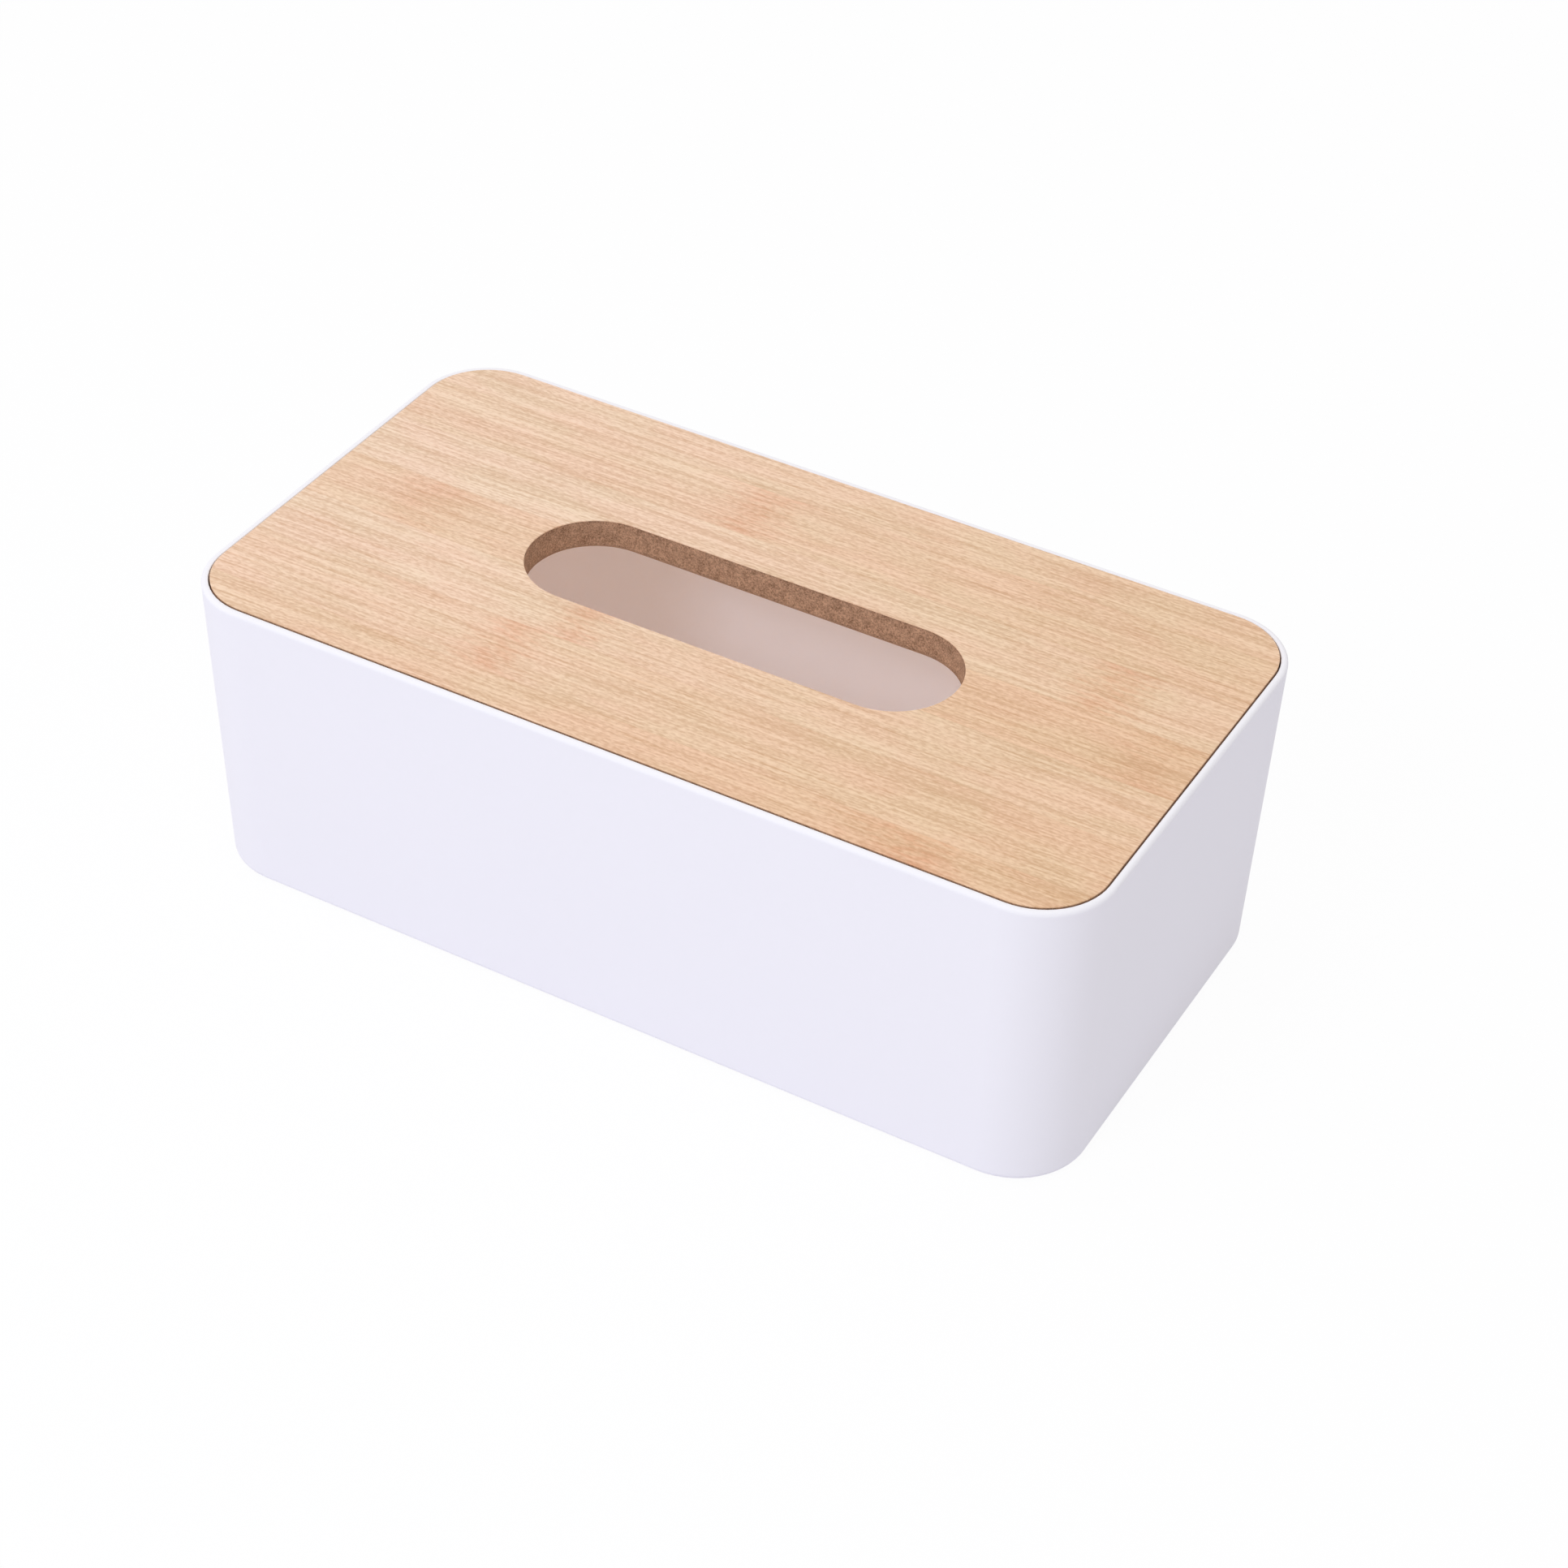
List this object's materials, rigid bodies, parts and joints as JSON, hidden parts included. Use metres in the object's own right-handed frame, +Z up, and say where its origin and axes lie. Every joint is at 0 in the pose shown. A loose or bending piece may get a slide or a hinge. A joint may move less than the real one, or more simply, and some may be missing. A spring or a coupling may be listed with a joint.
{
  "type": "tissue box cover",
  "caption": "Rectangular tissue box with rounded corners: a plastic tub whose walls lean in to the base, and a lift-off bamboo-faced lid with a long round-ended slot.",
  "frame": {"origin": "middle of the footprint, on the surface that the pads stand on", "axes": "+X along the long side, -Y towards the front long wall, +Z up, the way the lid lifts"},
  "size_m": [0.245, 0.13, 0.085],
  "materials": {
    "tub_plastic": "matt white, fine moulded texture",
    "fibreboard": "raw sawn fibreboard edge",
    "bamboo_veneer": "satin clear-coated bamboo",
    "backing_sheet": "plain matt balancing sheet",
    "pad_rubber": "matt dark grey rubber"
  },
  "bodies": {
    "box": {"box_shell": "tub_plastic", "foot_pad_front_left": "pad_rubber", "foot_pad_front_right": "pad_rubber", "foot_pad_back_left": "pad_rubber", "foot_pad_back_right": "pad_rubber"},
    "lid": {"lid_core": "fibreboard", "lid_veneer": "bamboo_veneer", "lid_backing": "backing_sheet"}
  },
  "joints": [
    {"name": "lid_lift", "type": "slide", "parent": "box", "child": "lid", "axis": [0, 0, 1], "range_m": [0, 0.1]}
  ]
}
